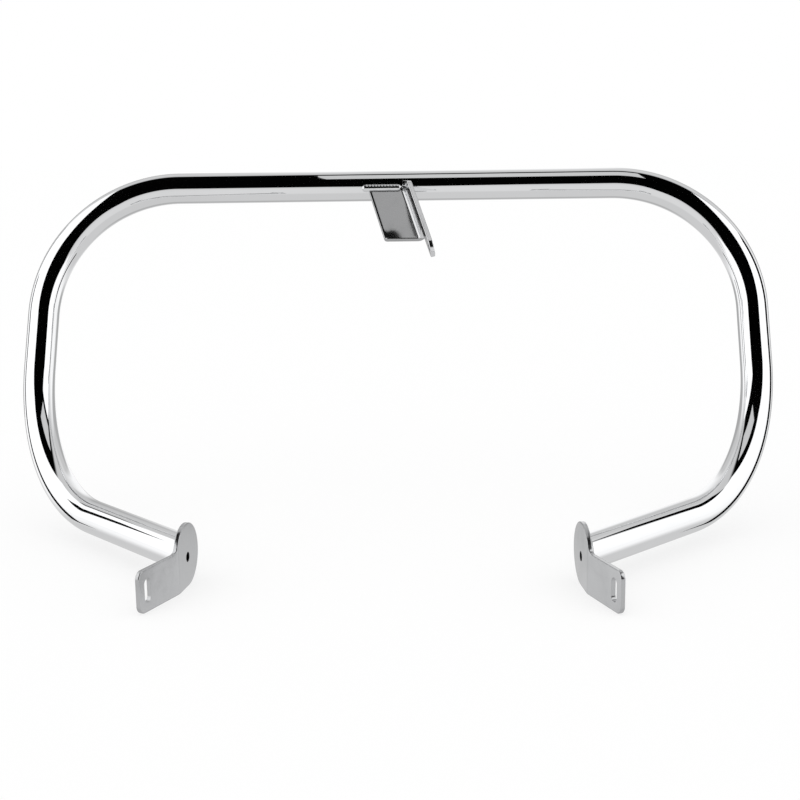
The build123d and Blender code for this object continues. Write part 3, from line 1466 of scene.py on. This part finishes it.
def stage_sheet(name: str, corners: Sequence[Triple], material: Material, *unseen_by: str) -> None:
    """Sets a flat sheet up in the studio.

    Args:
        name: Its name.
        corners: Its corners.
        material: Its material.
        unseen_by: Kinds of ray that pass through it.
    """
    mesh = bpy.data.meshes.new(name)
    mesh.from_pydata(corners, [], [tuple(range(len(corners)))])
    mesh.materials.append(material)
    sheet = linked(name, mesh)
    for ray in unseen_by:
        setattr(sheet, f"visible_{ray}", False)


@dataclass(frozen=True)
class Screen:
    """A flat screen that only the chrome sees: a soft light, or a dark cloth."""

    name: str
    corners: list[Triple]  # its corners
    glow: float  # light that it gives in its middle, where 1 is white
    fade: float  # share of the glow that is lost towards its rim
    middle: Triple  # the point that the glow fades away from
    reach: float  # distance over which the glow fades

    def build(self) -> None:
        """Hangs the screen."""
        g = MaterialGraph(self.name)
        away = g.vector("LENGTH", g.vector("SUBTRACT", g.place, self.middle))
        glow = self.glow * (1.0 - self.fade * g.ramp(away, 0.0, self.reach))
        material = g.finish("ShaderNodeEmission", {"Color": g.grey(glow), "Strength": 1.0})
        stage_sheet(self.name, self.corners, material, "camera", "diffuse", "shadow")

    @classmethod
    def upright(cls, name: str, x: float, y: Point, z: Point, glow: float, fade: float = 0.1) -> "Screen":
        """A screen that stands beside the guard, square to X."""
        corners = [(x, y[0], z[0]), (x, y[1], z[0]), (x, y[1], z[1]), (x, y[0], z[1])]
        return cls(name, corners, glow, fade, middle=(x, 0.5 * sum(y), 0.5 * sum(z)), reach=1.2)

    @classmethod
    def overhead(cls, name: str, z: float, x: Point, y: Point, glow: float, fade: float = 0.1) -> "Screen":
        """A screen that hangs level above the guard."""
        corners = [(x[0], y[0], z), (x[1], y[0], z), (x[1], y[1], z), (x[0], y[1], z)]
        return cls(name, corners, glow, fade, middle=(0.5 * sum(x), 0.5 * sum(y), z), reach=0.8)


@dataclass
class Studio:
    """The plain studio: a pale floor, soft light all round, screens that the chrome shows, and the camera."""

    floor_half: float = 30.0  # half the floor's side
    floor_grey: float = 0.3  # reflectance of the floor
    sky: float = 0.75  # share of the floor's light that comes from all round
    dark: float = 0.0006  # light of the room in front of the guard and above it, as the chrome shows it
    lamp_spread: float = 120.0  # width of the lamp overhead, as an angle
    lamp_lean: Point = (12.0, -8.0)  # lean of the lamp forwards and to the left
    camera_place: Triple = (0.06009, -1.19339, 0.36548)  # where the camera stands
    camera_turn: float = 2.374  # turn of the camera to the left
    camera_dip: float = 10.951  # tilt of the camera downwards
    camera_roll: float = -0.833
    lens: float = 58.5
    sensor: float = 36.0  # width of the sensor, in millimetres

    def screens(self) -> list[Screen]:
        """The lights and dark cloths round the guard.

        Returns:
            The screens.
        """
        hem = [(-1.6, 0.95), (-0.61, 0.5), (-0.25, 0.34), (0.0, 0.21), (0.25, 0.34), (0.61, 0.5), (1.6, 0.95)]
        cloth = [(x, -1.7, z) for x, z in [*hem, (1.6, 2.5), (-1.6, 2.5)]]
        return [
            Screen.upright("left_light", x=-1.07, y=(-1.08, 0.66), z=(0.0, 1.62), glow=1.25, fade=0.15),
            Screen.upright("right_light", x=1.42, y=(-1.08, 0.5), z=(0.0, 2.2), glow=1.25, fade=0.15),
            Screen.overhead("top_light", z=1.5, x=(-0.2, 0.54), y=(-0.48, 0.26), glow=0.62),
            Screen("front_cloth", cloth, self.dark, fade=0.5, middle=(0.0, -1.7, 1.0), reach=2.0),
            Screen.upright("left_stand", x=-1.06, y=(0.25, 0.365), z=(-0.3, 0.55), glow=self.dark),
            Screen.upright("right_stand", x=0.7, y=(0.17, 0.3), z=(-0.3, 0.55), glow=self.dark),
            Screen.upright("left_seam", x=-1.06, y=(0.64, 0.76), z=(0.0, 0.8), glow=0.12),
        ]

    def floor(self) -> None:
        """Lays the floor, white to the camera, with the guard's shadow on it."""
        h, grey = self.floor_half, self.floor_grey
        g = MaterialGraph("studio_floor")
        camera = g.wire("ShaderNodeLightPath", out="Is Camera Ray")
        inputs = {
            "Base Color": (grey, grey, grey, 1.0),
            "Roughness": 1.0,
            "Specular IOR Level": 0.0,
            "Emission Color": g.grey(camera * (1.0 - grey)),
            "Emission Strength": 1.0,
        }
        corners = [(-h, -h, 0.0), (h, -h, 0.0), (h, h, 0.0), (-h, h, 0.0)]
        stage_sheet("floor", corners, g.finish("ShaderNodeBsdfPrincipled", inputs), "glossy")

    def light(self) -> None:
        """Hangs one broad soft light over the guard."""
        lamp = bpy.data.lights.new("overhead", "SUN")
        lamp.energy = pi * (1.0 - self.sky)
        lamp.angle = radians(self.lamp_spread)
        made = linked("overhead", lamp)
        made.rotation_euler = (*(radians(lean) for lean in self.lamp_lean), 0.0)
        made.visible_glossy = False

    def _room(self, g: Graph) -> Wire:
        """The room as the chrome shows it: dark in front and above, pale behind and below.

        Args:
            g: The world's tree.

        Returns:
            The room's light by direction.
        """
        towards = g.wire("ShaderNodeTexCoord", out="Generated")
        x, y, z = g.parts(g.vector("NORMALIZE", towards))
        over = g.math("ARCTAN2", z, -y) * (180.0 / pi)  # from the rear over the top, negative below
        around = g.math("ARCTAN2", abs(x), -y) * (180.0 / pi)  # from the rear round either side
        height = g.math("ARCSINE", z) * (180.0 / pi)
        wall = 0.6 + 0.42 * g.ramp(over, 112.0, 165.0)
        above = self.dark + g.ramp(over, 102.0, 108.0) * (wall - self.dark)
        near = 0.09 * g.window(over, -50.0, -8.0, 8.0)
        shade = 0.2 * g.window(x, -0.35, 0.35, 0.15) * g.window(over, -140.0, -120.0, 10.0)
        beside = 0.4 * g.ramp(around, 60.0, 85.0) * g.ramp(height, -28.0, -8.0)
        below = 0.63 + near - shade + beside
        room = above + g.ramp(-height, -1.0, 1.0) * (below - above)
        corner = g.window(around, 133.0, 170.0, 5.0) * g.window(height, -16.0, 44.0, 6.0)
        return room + corner * (0.42 + 0.17 * g.ramp(height, 12.0, 26.0) - room)

    def surroundings(self) -> None:
        """Lights the guard from all round: white to the camera, and the room in the chrome."""
        world = bpy.data.worlds.new("studio")
        bpy.context.scene.world = world
        world.use_nodes = True
        g = Graph(world.node_tree)
        room = self._room(g)
        path = g.node("ShaderNodeLightPath")
        camera, glossy = Wire(g, path.outputs["Is Camera Ray"]), Wire(g, path.outputs["Is Glossy Ray"])
        shown = self.sky + glossy * (room - self.sky)
        shown = shown + camera * (1.0 - shown)
        surface = g.wire("ShaderNodeBackground", {"Color": g.grey(shown), "Strength": 1.0})
        g.node("ShaderNodeOutputWorld", {"Surface": surface})

    def camera(self) -> None:
        """Stands the camera behind the rider's seat."""
        data = bpy.data.cameras.new("camera")
        data.lens = self.lens
        data.sensor_width = self.sensor
        made = linked("camera", data)
        turns = ((self.camera_turn, "Z"), (90.0 - self.camera_dip, "X"), (self.camera_roll, "Z"))
        place = Matrix.Translation(self.camera_place)
        for angle, axis in turns:
            place = place @ Matrix.Rotation(radians(angle), 4, axis)
        made.matrix_world = place
        bpy.context.scene.camera = made

    def build(self) -> None:
        """Sets the studio up."""
        bpy.context.scene.view_settings.view_transform = "Standard"
        self.floor()
        self.light()
        self.surroundings()
        self.camera()
        for screen in self.screens():
            screen.build()
        LOG.info("studio set up")


def main() -> None:
    """Builds the guard and its studio."""
    logging.basicConfig(level=logging.INFO, format="%(message)s")
    layout = GuardLayout()
    bracket = UpperBracket(layout)
    finishes = Finishes.made(bracket)
    GuardTube(layout).build(finishes)
    for side in Side:
        LowerPlate(layout, side).build(finishes)
    bracket.build(finishes)
    Welds(layout, bracket).build(finishes)
    Studio().build()


if __name__ == "__main__":
    main()
